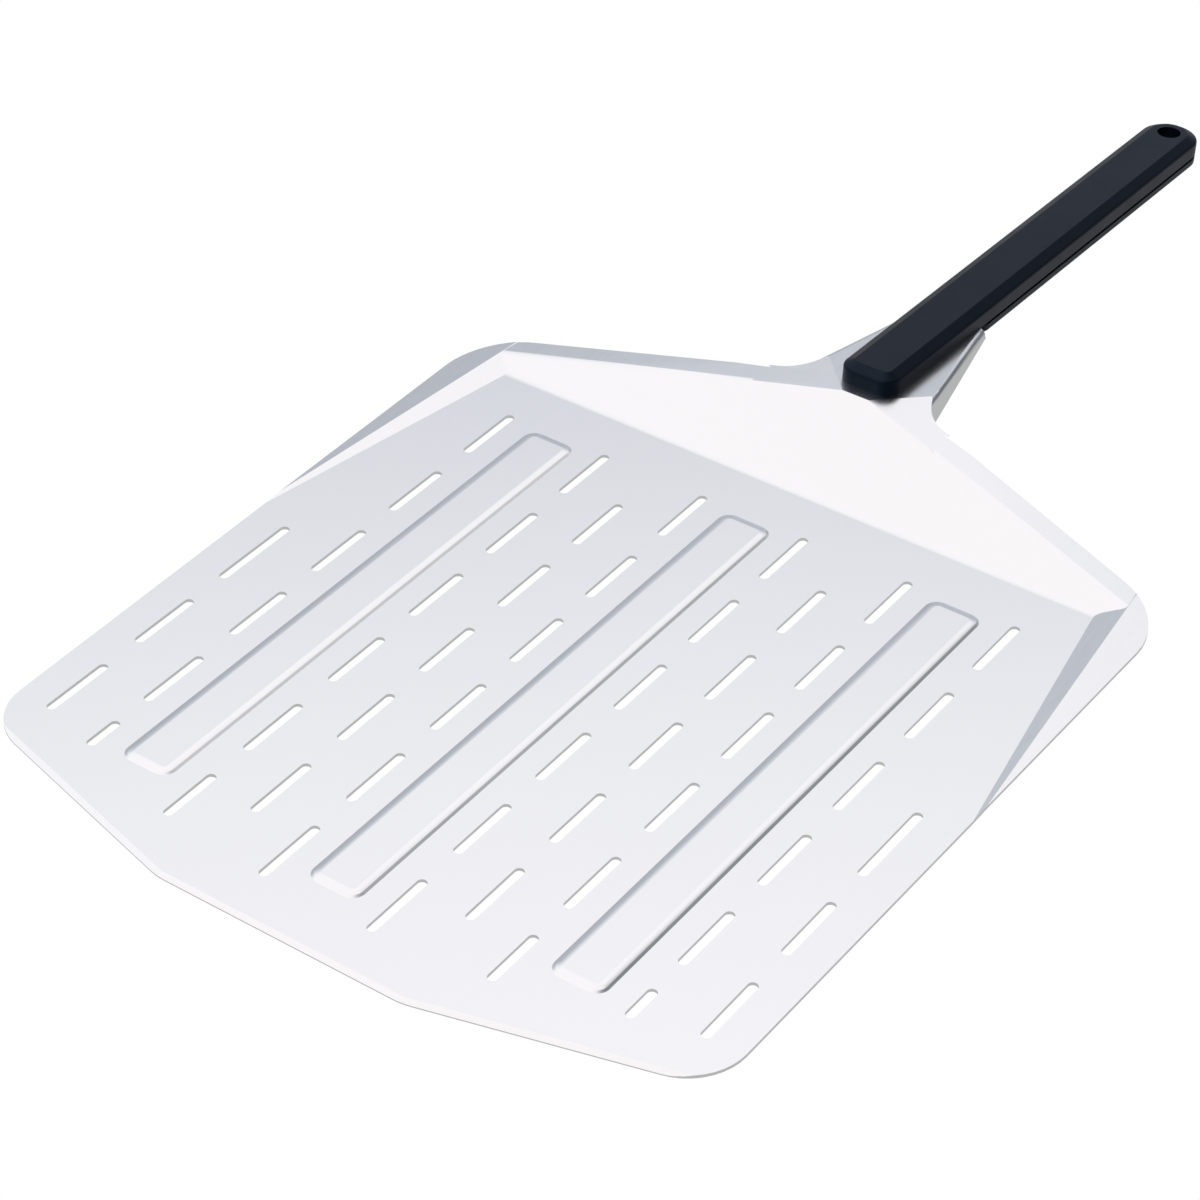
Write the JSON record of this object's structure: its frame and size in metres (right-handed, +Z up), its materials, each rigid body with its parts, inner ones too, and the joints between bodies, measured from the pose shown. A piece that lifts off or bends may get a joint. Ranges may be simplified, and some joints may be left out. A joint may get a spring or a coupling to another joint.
{
  "type": "pizza peel",
  "caption": "Perforated aluminium pizza peel: a flat embossed blade with a ramped neck and a black two-shell moulded handle with a hanging hole.",
  "frame": {"origin": "middle of the overall length and width, on the plane of the blade floor's underside, which is the plane the peel lies on", "axes": "+Y from the leading edge toward the handle, +X across the blade, +Z up out of the food face"},
  "size_m": [0.3594, 0.719, 0.0302],
  "materials": {
    "blade_metal": "satin brushed and clear anodised",
    "handle_nylon": "fine moulded texture, glass-filled nylon",
    "handle_nylon_under": "fine moulded texture, glass-filled nylon",
    "screw_steel": "plain steel"
  },
  "bodies": {
    "root": {"blade": "blade_metal", "handle_upper": "handle_nylon", "handle_lower": "handle_nylon_under", "handle_screws": "screw_steel"}
  },
  "joints": []
}
